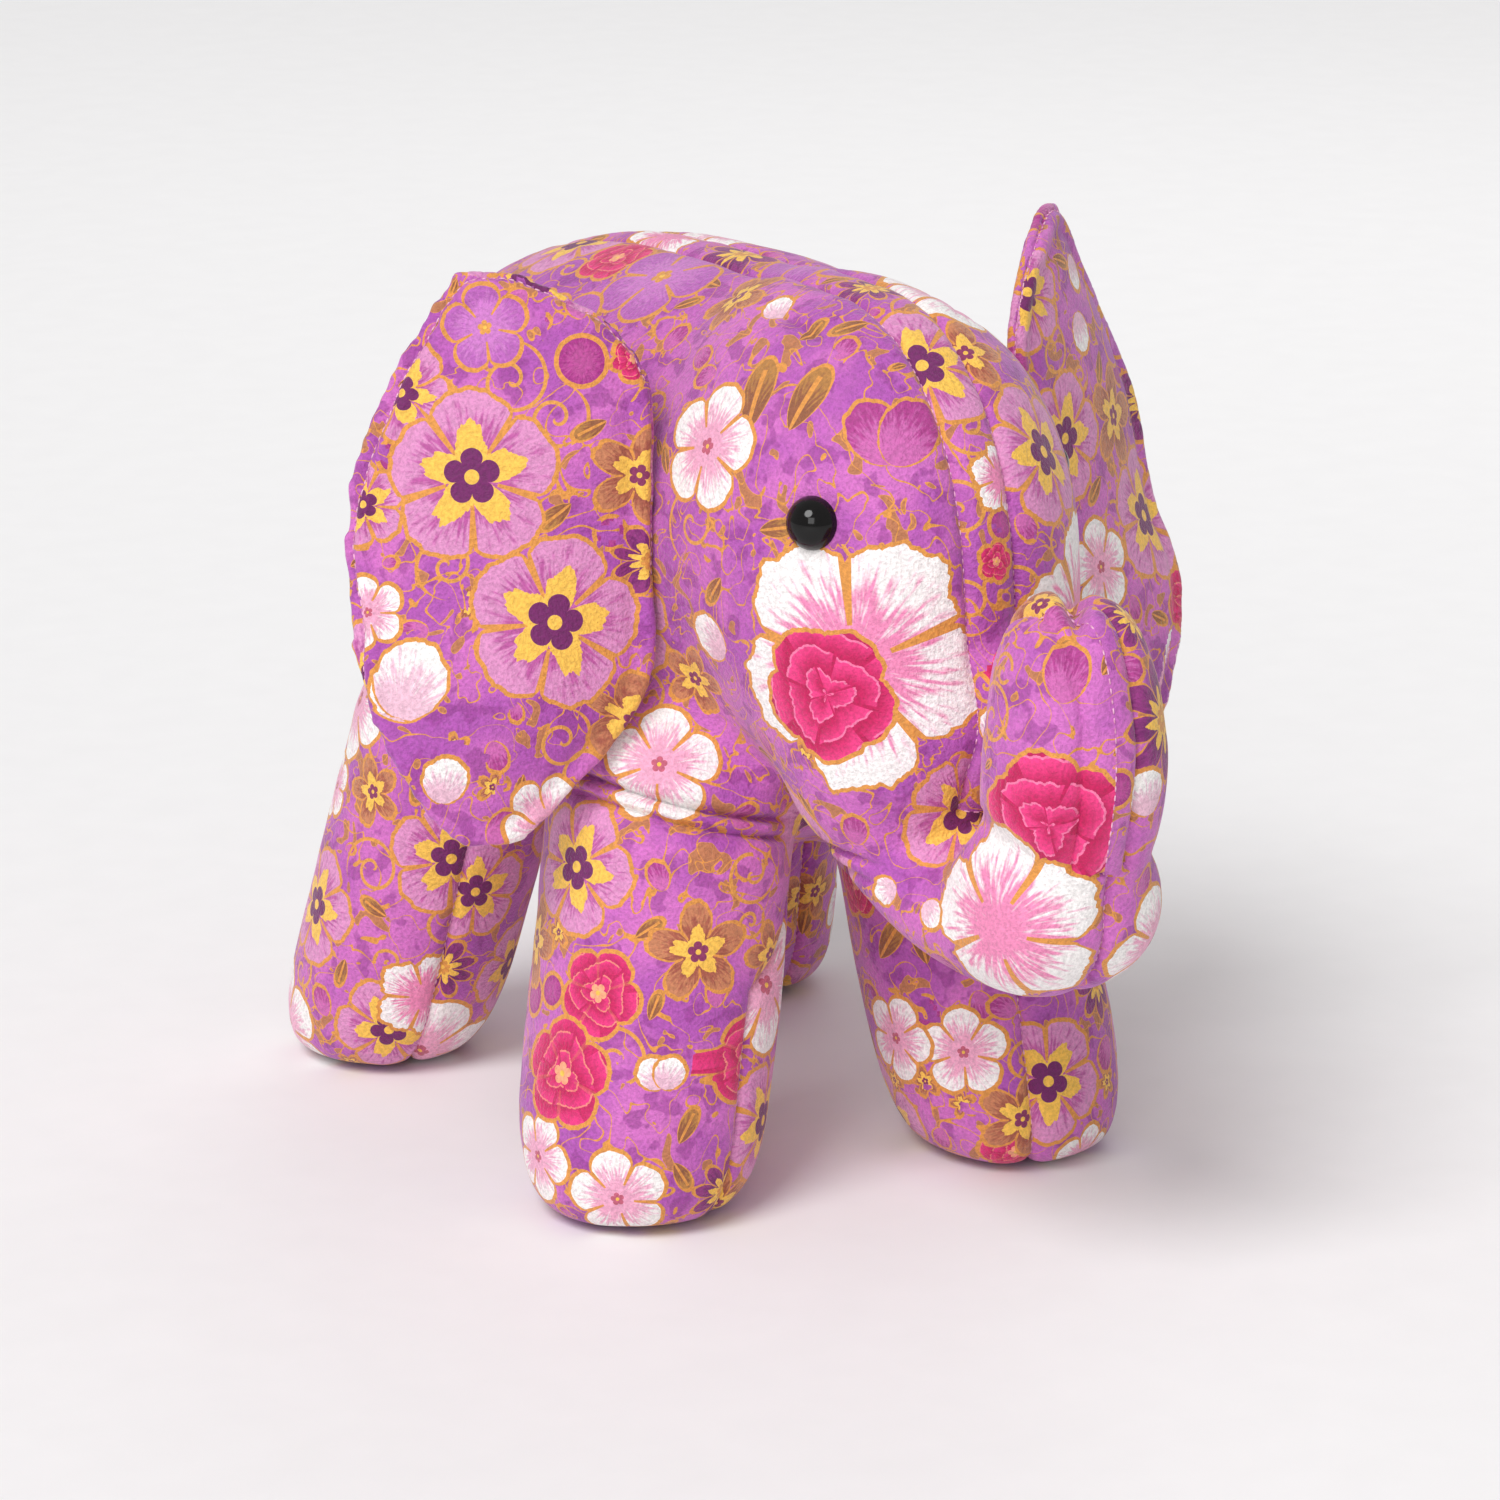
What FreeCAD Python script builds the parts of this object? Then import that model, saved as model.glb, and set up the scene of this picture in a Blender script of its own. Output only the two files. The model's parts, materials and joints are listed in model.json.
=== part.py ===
"""Stuffed elephant sewn from printed crepe fabric: the whole toy as separate fabric panels,
fibre stuffing, eyes and tail. Millimetres. +Z is up, the elephant faces -Y, and its right side is
at -X. The origin is on the floor, under the middle of the toy's bounding box."""

import FreeCAD, Part
import math
import os

V = FreeCAD.Vector
X_AXIS = V(1, 0, 0)
Y_AXIS = V(0, 1, 0)
Z_AXIS = V(0, 0, 1)

# ---- driving dimensions -----------------------------------------------------------------------
FABRIC = 0.8  # crepe and its fusible backing
PACKING_GAP = 0.15  # left between a fabric panel and the stuffing behind it
FLEX_GAP = 0.5  # left between two bodies that turn against each other
SEAM_GAP = 0.05  # left between two panels that meet at a seam
FRAME_SHIFT = 36.5  # moves the model along Y, so that the origin is under the middle of its box

# torso: (y, middle height, half width, half height)
TORSO = (
    (96, 147, 14, 18),
    (91, 146, 30, 38),
    (79, 145, 43, 54),
    (54, 144, 54, 68),
    (15, 144, 58, 75),
    (-25, 146, 56, 75),
    (-58, 151, 49, 68),
    (-80, 155, 38, 56),
)
# head down to the top of the trunk: (z, front y, back y, half width)
HEAD = (
    (93, -122, -98, 24),
    (103, -130, -86, 31),
    (115, -136, -70, 36),
    (131, -138, -48, 41),
    (151, -137, -27, 45),
    (171, -135, -18, 46),
    (191, -129, -19, 43),
    (207, -118, -26, 35),
    (218, -103, -38, 24),
    (223, -88, -52, 12),
)
HEAD_LEAN = -3.0  # the head leans this far to the toy's right
HEAD_SQUARE = 2.25  # exponent of the oval outlines: 2 is an ellipse
TORSO_SQUARE = 2.3

# trunk: the head runs forward into a knuckle, and the turned-up half turns on it
BEND_Y, BEND_Z = -156.0, 94.0
BEND_RADIUS, BEND_HALF_WIDTH = 23.0, 23.5
# from the head to the knuckle: (y, middle height, half width, half height)
TRUNK_ROOT = (
    (-92, 108, 30, 20),
    (-112, 98, 30, 19),
    (-130, 89, 27, 17),
    (-146, 84, 24, 14),
    (-156, 83, 22, 12),
)
# turned-up half of the trunk: (z, middle y, half width, half depth)
TRUNK = (
    (94, -156, 23, 23),
    (112, -160.5, 22.5, 21.5),
    (135, -163, 21.5, 22),
    (151, -162, 19, 20.5),
    (162, -161, 14, 16),
    (168, -160, 7, 9),
)

# legs: each turns on a round hip, and leans outward to its foot
HIP_X, HIP_Y, HIP_Z = 38.0, 50.0, 97.0
HIP_RADIUS = 42.0
HIP_INNER_X = 7.0  # the hip disc starts this far from the middle of the toy
FEET = {  # where each sole's middle is; the toy stands a little unevenly
    "front_right": (-56.0, -63.0),
    "front_left": (46.0, -74.0),
    "rear_right": (-55.0, 70.0),
    "rear_left": (52.0, 70.0),
}
# (height, share of the way from foot to hip, half width, half length)
LEG = (
    (0, 0.0, 19, 19),
    (3, 0.03, 25, 25),
    (11, 0.11, 29, 29.5),
    (27, 0.28, 31, 31.5),
    (52, 0.54, 31, 33),
    (76, 0.78, 30, 34),
    (97, 1.0, 29, 34),
    (111, 1.14, 27, 31),
    (123, 1.27, 23, 25),
    (132, 1.36, 16, 14),
)
REAR_LEG_SCALE = 0.95

# ears: (z, inner edge, outer edge, thickness, sweep back in degrees), from the attaching line
EAR_ROOT_X, EAR_ROOT_Y = 43.0, -68.0
EAR = (
    (93, 45, 55, 4, 11),
    (100, 34, 64, 9, 13),
    (112, 21, 72, 12, 16),
    (129, 8, 79, 14, 20.5),
    (150, 6, 82, 15, 28),
    (173, 6, 82, 15, 32),
    (193, 6, 77, 14, 37),
    (208, 10, 69, 12, 40),
    (220, 24, 62, 9, 42),
    (228, 40, 55, 5, 43),
)
EAR_CLEARANCE = 0.8  # between the ear's root and the head
EAR_POINTS = 9

# eyes: plastic domes on a shank, held by a washer inside
EYE_RADIUS = 6.3  # of the ball that the dome is a part of
EYE_SINK = 1.8  # how far the ball's middle lies under the fabric
EYE_Z = 178.0
EYE_ANGLES = {"right": 57.5, "left": 85.0}  # degrees from straight ahead, seen from above
EYE_CORE_Y = -90.0  # the angles are about the upright line through here
SHANK_RADIUS, SHANK_LENGTH = 1.5, 13.0
WASHER_RADIUS, WASHER_THICK = 6.5, 1.6
WASHER_DEPTH = 4.0  # from the fabric's face to the washer
EYE_ROOM = 0.1

# gusset strip from the trunk over the forehead and along the back
GUSSET_HALF = 7.0
TRUNK_GUSSET_TOP = 160.0
BELLY_TOP = 91.0  # the belly gusset reaches this high
BELLY_FRONT = -62.0

# tail: folded fabric strip with a knot at its end
TAIL_Y, TAIL_Z = 97.5, 171.0
TAIL_LENGTH, TAIL_WIDTH, TAIL_THICK = 52.0, 9.0, 5.0
TAIL_KNOT_RADIUS = 7.0

INSETS = (0.0, FABRIC, FABRIC + PACKING_GAP)  # outer face, inner face and stuffing
SEAM_TURN = 14.0  # degrees that a leg's seam plane is turned about the leg
SEAM_INSIDE = 3.0  # and how far inside the middle of the foot it passes
OUTLINE_POINTS = 16
LEAST_VOLUME = 100.0  # smaller scraps of a cut are dropped


# ---- shape helpers ----------------------------------------------------------------------------
def oval(centre, u, v, half_u, half_v, square=2.0):
    """Closed smooth outline of half sizes half_u and half_v; square above 2 fills its corners."""
    points = []
    for k in range(OUTLINE_POINTS):
        angle = 2 * math.pi * k / OUTLINE_POINTS
        c, s = math.cos(angle), math.sin(angle)
        cu = math.copysign(abs(c) ** (2 / square), c)
        sv = math.copysign(abs(s) ** (2 / square), s)
        points.append(centre + u * (half_u * cu) + v * (half_v * sv))
    curve = Part.BSplineCurve()
    curve.interpolate(Points=points, PeriodicFlag=True)
    return Part.Wire(curve.toShape())


def spline(points):
    curve = Part.BSplineCurve()
    curve.interpolate(points)
    return curve.toShape()


def loft(wires):
    return Part.makeLoft(wires, True, False)


def block(x0, x1, y0, y1, z0, z1):
    return Part.makeBox(x1 - x0, y1 - y0, z1 - z0, V(x0, y0, z0))


def solids_of(shape):
    """The shape's solids as one compound, without slivers."""
    kept = [s for s in shape.Solids if s.Volume > LEAST_VOLUME]
    return kept[0] if len(kept) == 1 else Part.makeCompound(kept)


def prism(corners, z0, z1):
    """Upright block with the given corners, as seen from above."""
    ring = [V(x, y, z0) for x, y in corners]
    return Part.Face(Part.makePolygon(ring + ring[:1])).extrude(V(0, 0, z1 - z0))


def x_cylinder(y, z, radius, x0, x1):
    return Part.makeCylinder(radius, x1 - x0, V(x0, y, z), X_AXIS)


# ---- outer forms, each also made smaller by an inset for its stuffing --------------------------
def torso_form(inset=0.0):
    rings = []
    for k, (y, z, half_width, half_height) in enumerate(TORSO):
        along = y - inset if k == 0 else y
        rings.append(
            oval(V(0, along, z), X_AXIS, Z_AXIS, half_width - inset, half_height - inset, TORSO_SQUARE)
        )
    return loft(rings)


def head_form(inset=0.0):
    rings = []
    last = len(HEAD) - 1
    for k, (z, front, back, half_width) in enumerate(HEAD):
        height = z - inset if k == last else z
        middle, half_length = (front + back) / 2, (back - front) / 2
        centre = V(HEAD_LEAN, middle, height)
        rings.append(oval(centre, X_AXIS, Y_AXIS, half_width - inset, half_length - inset, HEAD_SQUARE))
    return loft(rings)


def bend_form(inset=0.0):
    """The knuckle at the bottom of the trunk: a barrel across the toy, rounded at its ends."""
    radius, half = BEND_RADIUS - inset, BEND_HALF_WIDTH - inset
    ends = ((-1.0, 0.35), (-0.9, 0.66), (-0.65, 0.88), (0, 1.0), (0.65, 0.88), (0.9, 0.66), (1.0, 0.35))
    rings = [
        Part.Wire(Part.makeCircle(radius * size, V(half * place, BEND_Y, BEND_Z), X_AXIS))
        for place, size in ends
    ]
    return loft(rings)


def trunk_root_form(inset=0.0):
    return loft(
        [
            oval(V(0, y, z), X_AXIS, Z_AXIS, half_width - inset, half_height - inset)
            for y, z, half_width, half_height in TRUNK_ROOT
        ]
    )


def trunk_form(inset=0.0):
    rings = []
    last = len(TRUNK) - 1
    for k, (z, y, half_width, half_depth) in enumerate(TRUNK):
        height = z - inset if k == last else z
        rings.append(oval(V(0, y, height), X_AXIS, Y_AXIS, half_width - inset, half_depth - inset))
    return loft(rings)


def leg_form(name, inset=0.0):
    """A leg, from its flat sole to the rounded top of the hip."""
    foot_x, foot_y = FEET[name]
    hip_x = math.copysign(HIP_X, foot_x)
    hip_y = math.copysign(HIP_Y, foot_y)
    scale = REAR_LEG_SCALE if foot_y > 0 else 1.0
    rings = []
    last = len(LEG) - 1
    for k, (z, share, half_width, half_length) in enumerate(LEG):
        height = z + inset if k == 0 else z - inset if k == last else z
        middle = V(foot_x + (hip_x - foot_x) * share, foot_y + (hip_y - foot_y) * share, height)
        half_x, half_y = half_width * scale - inset, half_length * scale - inset
        rings.append(oval(middle, X_AXIS, Y_AXIS, half_x, half_y))
    return loft(rings)


def body_form(inset=0.0):
    return torso_form(inset).fuse([head_form(inset), trunk_root_form(inset), bend_form(inset)])


def hip_disc(name, extra=0.0):
    """The round hip that a leg turns on; extra makes the pocket around it."""
    foot_x, foot_y = FEET[name]
    y = math.copysign(HIP_Y, foot_y)
    inner = HIP_INNER_X - extra
    start = -100 if foot_x < 0 else inner
    return x_cylinder(y, HIP_Z, HIP_RADIUS + extra, start, start + 100 - inner)


# ---- sub-parts --------------------------------------------------------------------------------
def leg_seam_half(name):
    """Everything on the toy's inner side of a leg's seam, which runs down its front and back."""
    foot_x, foot_y = FEET[name]
    side = math.copysign(1, foot_x)
    half = block(-80, 0, -90, 90, -20, 220) if side > 0 else block(0, 80, -90, 90, -20, 220)
    half.rotate(V(0, 0, 0), Z_AXIS, SEAM_TURN * math.copysign(1, foot_x * foot_y) * -1)
    lean = math.degrees(math.atan2(foot_x - side * HIP_X, HIP_Z))
    half.rotate(V(0, 0, 0), Y_AXIS, -lean)
    half.translate(V(foot_x - side * SEAM_INSIDE, foot_y * 0.87, 0))
    return half


def make_leg(name, bodies):
    """Outer cover, inner cover and stuffing of one leg; bodies are the torso's three forms."""
    disc = hip_disc(name)
    outer, inner, stuffing = (
        leg_form(name, inset).fuse(body.common(disc)) for inset, body in zip(INSETS, bodies)
    )
    cover = outer.cut(inner)
    inside = leg_seam_half(name)
    return {
        "outer": solids_of(cover.cut(inside)),
        "inner": solids_of(cover.common(inside)),
        "stuffing": solids_of(stuffing),
    }


def ear_directions(side, sweep):
    """Unit vectors along the ear, away from the head, and out of the ear's front face."""
    angle = math.radians(sweep)
    return V(side * math.cos(angle), math.sin(angle), 0), V(side * math.sin(angle), -math.cos(angle), 0)


def ear_arc(k, side, face, inset):
    """Points across an ear's front (face 1) or back (face -1) at row k, outer edge first."""
    z, inner_edge, outer_edge, thick, sweep = EAR[k]
    z += {0: inset, len(EAR) - 1: -inset}.get(k, 0.0)
    along, ahead = ear_directions(side, sweep)
    middle = V(side * EAR_ROOT_X, EAR_ROOT_Y, z) + along * ((inner_edge + outer_edge) / 2)
    half_u, half_v = (outer_edge - inner_edge) / 2 - inset, thick / 2 - inset
    points = []
    for k in range(EAR_POINTS):
        angle = math.pi * k / (EAR_POINTS - 1)
        bulge = max(half_v * math.sin(angle), SEAM_GAP)
        points.append(middle + along * (half_u * math.cos(angle)) + ahead * (face * bulge))
    return points


def ear_form(side, faces, inset):
    """Half of an ear's lens shape, or with both faces the whole of it, made smaller by inset."""
    rings = []
    for k in range(len(EAR)):
        there = ear_arc(k, side, faces[0], inset)
        edges = [spline(there)]
        if len(faces) == 1:
            edges.append(Part.makeLine(there[-1], there[0]))
        else:
            back = ear_arc(k, side, faces[1], inset)[::-1]
            edges += [Part.makeLine(there[-1], back[0]), spline(back), Part.makeLine(back[-1], there[0])]
        rings.append(Part.Wire(edges))
    return loft(rings)


def make_ear(side, clearance):
    """Front panel, back panel and wadding of one ear, cut clear of the head."""
    pieces = {}
    hollow = ear_form(side, (1, -1), FABRIC)
    for name, face in (("front", 1), ("back", -1)):
        pieces[name] = solids_of(ear_form(side, (face,), 0.0).cut([hollow, clearance]))
    pieces["wadding"] = solids_of(ear_form(side, (1, -1), FABRIC + PACKING_GAP).cut(clearance))
    return pieces


def outward(form, point):
    """The way out of a form's surface at a point on it."""
    face = min(form.Faces, key=lambda f: f.distToShape(Part.Vertex(point))[0])
    u, v = face.Surface.parameter(point)
    return face.normalAt(u, v)


def make_eye(side_name, side, form):
    """An eye with its shank, its washer, and the room that they need in the fabric and stuffing."""
    angle = math.radians(EYE_ANGLES[side_name])
    core = V(HEAD_LEAN, EYE_CORE_Y, EYE_Z)
    ray = Part.makeLine(core, core + V(side * math.sin(angle), -math.cos(angle), 0) * 120).common(form)
    surface = max((v.Point for v in ray.Vertexes), key=lambda p: p.distanceToPoint(core))
    out = outward(form, surface)

    def rod(depth, radius, length):
        """Round bar about the eye's middle line, starting this deep under the fabric's face."""
        return Part.makeCylinder(radius, length, surface - out * depth, out)

    ball = Part.makeSphere(EYE_RADIUS, surface - out * EYE_SINK)
    dome = ball.common(rod(-EYE_ROOM, EYE_RADIUS, EYE_RADIUS))
    eye = dome.fuse(rod(SHANK_LENGTH, SHANK_RADIUS, SHANK_LENGTH + 1))
    back = WASHER_DEPTH + WASHER_THICK
    washer = rod(back, WASHER_RADIUS, WASHER_THICK).cut(
        rod(back + 1, SHANK_RADIUS + SEAM_GAP, WASHER_THICK + 2)
    )
    room = rod(SHANK_LENGTH + EYE_ROOM, SHANK_RADIUS + EYE_ROOM, SHANK_LENGTH + 1).fuse(
        rod(back + EYE_ROOM, WASHER_RADIUS + EYE_ROOM, WASHER_THICK + 2 * EYE_ROOM)
    )
    return eye, washer, room


def gusset_zone():
    """The strip between the side panels: down the face to the trunk, and back along the top."""
    lean, half = HEAD_LEAN, GUSSET_HALF
    top = prism(((lean - half, -135), (lean + half, -135), (half, 120), (-half, 120)), 160, 260)
    face = block(lean - half, lean + half, -175, -95, 60, 230)
    below = block(-40, 40, -175, -60, 40, BEND_Z + 5)
    trunk_side = block(-40, 40, -200, BEND_Y + 15, 40, 125)
    return top.fuse(face).cut([below, trunk_side])


def make_body(bodies, discs, eye_rooms):
    """Side panels, back gusset, belly gusset and the stuffing of torso and head."""
    outer, inner, stuffing = bodies
    shell = outer.cut(inner).cut(discs)
    gusset, belly = gusset_zone(), block(-60, 60, BELLY_FRONT, 88, 40, BELLY_TOP)
    rest = shell.cut([gusset, belly] + eye_rooms)
    return {
        "back_gusset": solids_of(shell.common(gusset)),
        "belly_gusset": solids_of(shell.common(belly)),
        "side_panel_right": solids_of(rest.common(block(-100, -SEAM_GAP, -260, 160, 0, 300))),
        "side_panel_left": solids_of(rest.common(block(SEAM_GAP, 100, -260, 160, 0, 300))),
        "body_stuffing": solids_of(stuffing.cut(discs + eye_rooms)),
    }


def make_trunk():
    """The turned-up half of the trunk: two side panels, the end of the gusset and its stuffing."""
    room = x_cylinder(BEND_Y, BEND_Z, BEND_RADIUS + FLEX_GAP, -60, 60)
    outer, inner, stuffing = (trunk_form(inset) for inset in INSETS)
    shell = outer.cut(inner).cut(room)
    strip = block(-GUSSET_HALF, GUSSET_HALF, BEND_Y, -100, 60, TRUNK_GUSSET_TOP)
    rest = shell.cut(strip)
    return {
        "trunk_gusset": solids_of(shell.common(strip)),
        "trunk_panel_right": solids_of(rest.common(block(-60, -SEAM_GAP, -260, 0, 0, 300))),
        "trunk_panel_left": solids_of(rest.common(block(SEAM_GAP, 60, -260, 0, 0, 300))),
        "trunk_stuffing": solids_of(stuffing.cut(room)),
    }


def make_tail():
    """A folded strip that hangs from the rump, and the knot at its end."""
    top = V(0, TAIL_Y + TAIL_THICK / 2, TAIL_Z)
    rings = [
        oval(top + V(0, lean, -drop), X_AXIS, Y_AXIS, TAIL_WIDTH / 2 * size, TAIL_THICK / 2 * size, 2.6)
        for drop, lean, size in ((0, 0, 0.8), (8, 1.5, 1), (26, 4, 1), (TAIL_LENGTH, 5, 1))
    ]
    knot = Part.makeSphere(TAIL_KNOT_RADIUS, top + V(0, 5, -TAIL_LENGTH - TAIL_KNOT_RADIUS * 0.8))
    return {"tail_strip": loft(rings).cut(knot), "tail_knot": knot}


def build():
    bodies = [body_form(inset) for inset in INSETS]
    clearance = body_form(-EAR_CLEARANCE)
    nodes, eye_rooms = {}, []
    for side_name, side in (("right", -1), ("left", 1)):
        eye, washer, room = make_eye(side_name, side, bodies[0])
        nodes[f"eye_{side_name}"], nodes[f"eye_washer_{side_name}"] = eye, washer
        eye_rooms.append(room)
        for piece, shape in make_ear(side, clearance).items():
            nodes[f"ear_{side_name}_{piece}"] = shape
    nodes.update(make_body(bodies, [hip_disc(name, FLEX_GAP) for name in FEET], eye_rooms))
    nodes.update(make_trunk())
    for name in FEET:
        for piece, shape in make_leg(name, bodies).items():
            nodes[f"leg_{name}_{piece}"] = shape
    nodes.update(make_tail())
    return nodes


def main():
    os.makedirs("parts", exist_ok=True)
    for name, shape in build().items():
        shape.translate(V(0, FRAME_SHIFT, 0))
        shape.exportStep(f"parts/{name}.step")
        print(name, len(shape.Solids), "solids", round(shape.Volume / 1000, 2), "cm3", shape.isValid())


main()
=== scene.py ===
"""Stuffed elephant sewn from printed crepe. The fabric skin is one puffed form, cut along its seams
into panels, with stitches in the seams, lens-shaped ears, domed eyes and a knotted tail."""

import json
import math

import bmesh
import bpy
import numpy as np
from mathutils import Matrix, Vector, noise
from mathutils.kdtree import KDTree


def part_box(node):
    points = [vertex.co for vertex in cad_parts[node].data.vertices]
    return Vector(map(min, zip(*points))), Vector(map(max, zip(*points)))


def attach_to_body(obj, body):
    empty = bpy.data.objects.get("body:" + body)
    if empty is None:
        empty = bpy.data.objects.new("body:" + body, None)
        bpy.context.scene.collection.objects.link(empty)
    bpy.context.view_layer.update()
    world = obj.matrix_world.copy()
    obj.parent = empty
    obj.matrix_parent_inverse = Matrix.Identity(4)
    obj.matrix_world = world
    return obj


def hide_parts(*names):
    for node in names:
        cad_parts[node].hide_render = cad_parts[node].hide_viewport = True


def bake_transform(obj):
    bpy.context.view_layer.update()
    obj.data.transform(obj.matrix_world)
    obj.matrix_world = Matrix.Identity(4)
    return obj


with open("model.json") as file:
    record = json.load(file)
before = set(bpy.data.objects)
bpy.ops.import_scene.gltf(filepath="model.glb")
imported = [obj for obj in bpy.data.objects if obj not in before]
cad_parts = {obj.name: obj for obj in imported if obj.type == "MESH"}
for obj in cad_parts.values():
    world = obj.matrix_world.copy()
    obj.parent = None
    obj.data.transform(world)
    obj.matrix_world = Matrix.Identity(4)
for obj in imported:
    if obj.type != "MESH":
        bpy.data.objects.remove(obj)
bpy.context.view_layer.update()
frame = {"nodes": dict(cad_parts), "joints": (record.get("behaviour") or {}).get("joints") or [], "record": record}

MM = 0.001
RIGHT, LEFT = -1, 1
NODES, BODIES = frame["nodes"], frame["record"]["behaviour"]["bodies"]
JOINTS = {joint["child"]: joint for joint in frame["joints"]}
LEGS = [name for name in BODIES if name.startswith("leg_")]
SCENE = bpy.context.scene

# sizes in millimetres
VOXEL = 3.0
PUFF_LIMIT = 3.5  # how far the simulated filling may push the fabric out
EAR_PUFF_LIMIT = 3.0
CLOTH_FRAMES = 20
SEAM_DEPTH, SEAM_WIDTH = 2.2, 1.5
VALLEY = 1.3  # extra edges run this far beside each seam
PUCKER, PUCKER_PITCH, PUCKER_REACH = 0.55, 6.5, 9.0
DART_LENGTH, DART_AHEAD, DART_DEPTH = 15.0, 16.0, 1.8  # its middle lies ahead of the ears' line
NOTCH_WIDTH, NOTCH_DEPTH = 2.6, 5.5  # between the lobes of the trunk's tip
NOTCH_TURN = math.radians(31)  # the notch runs back and toward the toy's left
FOLD_DEPTHS, FOLD_GAP, FOLD_WIDTH = (4.5, 3.0), 4.4, 1.0  # the double fold at the top of each leg
EYE_SOCKET, EYE_DIMPLE = 4.8, 1.8  # from washer to fabric, and how far the fabric is drawn in
STITCH_PITCH, STITCH_LENGTH, STITCH_RADIUS = 2.2, 1.35, 0.21
GUSSET_HALF = 7.0
BELLY_TAPER = 1.4  # how fast the belly gusset narrows to its point under the chin
EAR_ROOT_X, EAR_VOXEL = 43.0, 2.4


# ---- places read from the frame, in millimetres ------------------------------------------------
def node_box(name):
    low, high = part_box(name)
    return np.array(low) / MM, np.array(high) / MM


def joint_at(body):
    return np.array(JOINTS[body]["pos_m"]) / MM


def sole_at(leg):
    mounts = {mount["name"]: mount for mount in frame["record"]["mounts"]}
    return np.array(mounts[leg.replace("leg_", "sole_")]["pos_m"]) / MM


BELLY_TOP, BELLY_FRONT = node_box("belly_gusset")[1][2], node_box("belly_gusset")[0][1]
HEAD_LEAN, HEAD_TOP = node_box("back_gusset")[0][0] + GUSSET_HALF, node_box("back_gusset")[1][2]
TRUNK_LOW, TRUNK_HIGH = node_box("trunk_stuffing")
TRUNK_Y = (TRUNK_LOW[1] + TRUNK_HIGH[1]) / 2
BEND = joint_at("trunk")
CROOK = np.array([0.0, TRUNK_HIGH[1] + 1.0, BEND[2] + 15.0])
TRUNK_WAY = np.array([0.0, -0.5, 0.866])


# ---- numpy mesh helpers ------------------------------------------------------------------------
def read(items, name, width=3, kind=float):
    """One attribute of every item, as rows."""
    flat = np.empty(len(items) * width, kind)
    items.foreach_get(name, flat)
    return flat.reshape(-1, width)


def positions(mesh):
    return read(mesh.vertices, "co") / MM


def set_positions(mesh, points):
    mesh.vertices.foreach_set("co", (points * MM).ravel())
    mesh.update()


def normals(mesh):
    return read(mesh.vertex_normals, "vector")


def edges_of(mesh):
    return read(mesh.edges, "vertices", 2, int)


def centres_of(mesh):
    return read(mesh.polygons, "center") / MM


def shade_smooth(mesh):
    mesh.polygons.foreach_set("use_smooth", np.ones(len(mesh.polygons), bool))


def link(name, mesh):
    piece = bpy.data.objects.new(name, mesh)
    SCENE.collection.objects.link(piece)
    return piece


def apply_modifiers(piece):
    evaluated = piece.evaluated_get(bpy.context.evaluated_depsgraph_get())
    mesh = bpy.data.meshes.new_from_object(evaluated)
    piece.modifiers.clear()
    piece.data = mesh
    return mesh


def joined_copy(name, node_names):
    """One mesh with the shapes of several CAD nodes."""
    merged = bmesh.new()
    for node in node_names:
        merged.from_mesh(NODES[node].data)
    mesh = bpy.data.meshes.new(name)
    merged.to_mesh(mesh)
    merged.free()
    return link(name, mesh)


def smooth(points, edges, rounds, strength=0.5, hold=None):
    """Average each point with its neighbours; hold is how much of each round a point ignores."""
    count = np.bincount(edges.ravel(), minlength=len(points))[:, None]
    move = strength if hold is None else strength * (1 - hold[:, None])
    for _ in range(rounds):
        total = np.zeros_like(points)
        np.add.at(total, edges[:, 0], points[edges[:, 1]])
        np.add.at(total, edges[:, 1], points[edges[:, 0]])
        points = points + (total / count - points) * move
    return points


def noise_at(points, pitch, seed=0.0):
    """Smooth noise of about -1 to 1, with features of the given pitch."""
    return np.array([noise.noise(Vector(p / pitch) + Vector((seed, 0, 0))) for p in points])


# ---- where the seams run: each field is in millimetres, and zero on its seam --------------------
def middle_x(points):
    """The toy's middle line, which leans to its right at the head."""
    back = np.clip((points[:, 1] + 60) / 120, 0, 1)
    return HEAD_LEAN * (1 - back) * (points[:, 2] > BEND[2] + 12)


def gusset_field(points):
    return GUSSET_HALF - np.abs(points[:, 0] - middle_x(points))


def top_field(points):
    """Above zero on the upper side, from the crook of the trunk to the rump."""
    return points[:, 2] - np.interp(points[:, 1], [CROOK[1], -60, 120], [CROOK[2] - 2, 125, 118])


def axis_distance(points, leg):
    """Distance from the line between a leg's sole and its hip."""
    foot = sole_at(leg)
    way = joint_at(leg) - foot
    share = np.clip(((points - foot) @ way) / (way @ way), 0, 1.3)
    return np.linalg.norm(points - foot - share[:, None] * way, axis=1)


def leg_plane(points, leg):
    """Above zero on the outer cover's side of the seam down a leg's front and back."""
    foot, hip = sole_at(leg), joint_at(leg)
    side = math.copysign(1, foot[0])
    turn = math.radians(14) * math.copysign(1, hip[1])
    lean = (hip[0] - foot[0]) / hip[2]
    out = np.array([side * math.cos(turn), math.sin(turn), 0.0])
    out[2] = -side * lean * math.cos(turn)
    return (points - foot) @ (out / np.linalg.norm(out)) + 3.0


def side_field(points):
    """Above zero on side panels and outer covers; below zero on the belly and inner covers."""
    field = points[:, 2] - BELLY_TOP + BELLY_TAPER * np.maximum(BELLY_FRONT - points[:, 1], 0)
    for leg in LEGS:
        near = 40.0 - axis_distance(points, leg)
        field = np.maximum(field, np.minimum(leg_plane(points, leg), near))
    return field


def leg_reach(leg):
    """Where a leg starts to bend, and which way it goes from there."""
    foot, hip = sole_at(leg), joint_at(leg)
    side = math.copysign(1, foot[0])
    start = np.array([hip[0] - side * 8, hip[1], hip[2] - 17])
    return start, np.array([side * 0.5, 0.0, -0.866])


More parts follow.
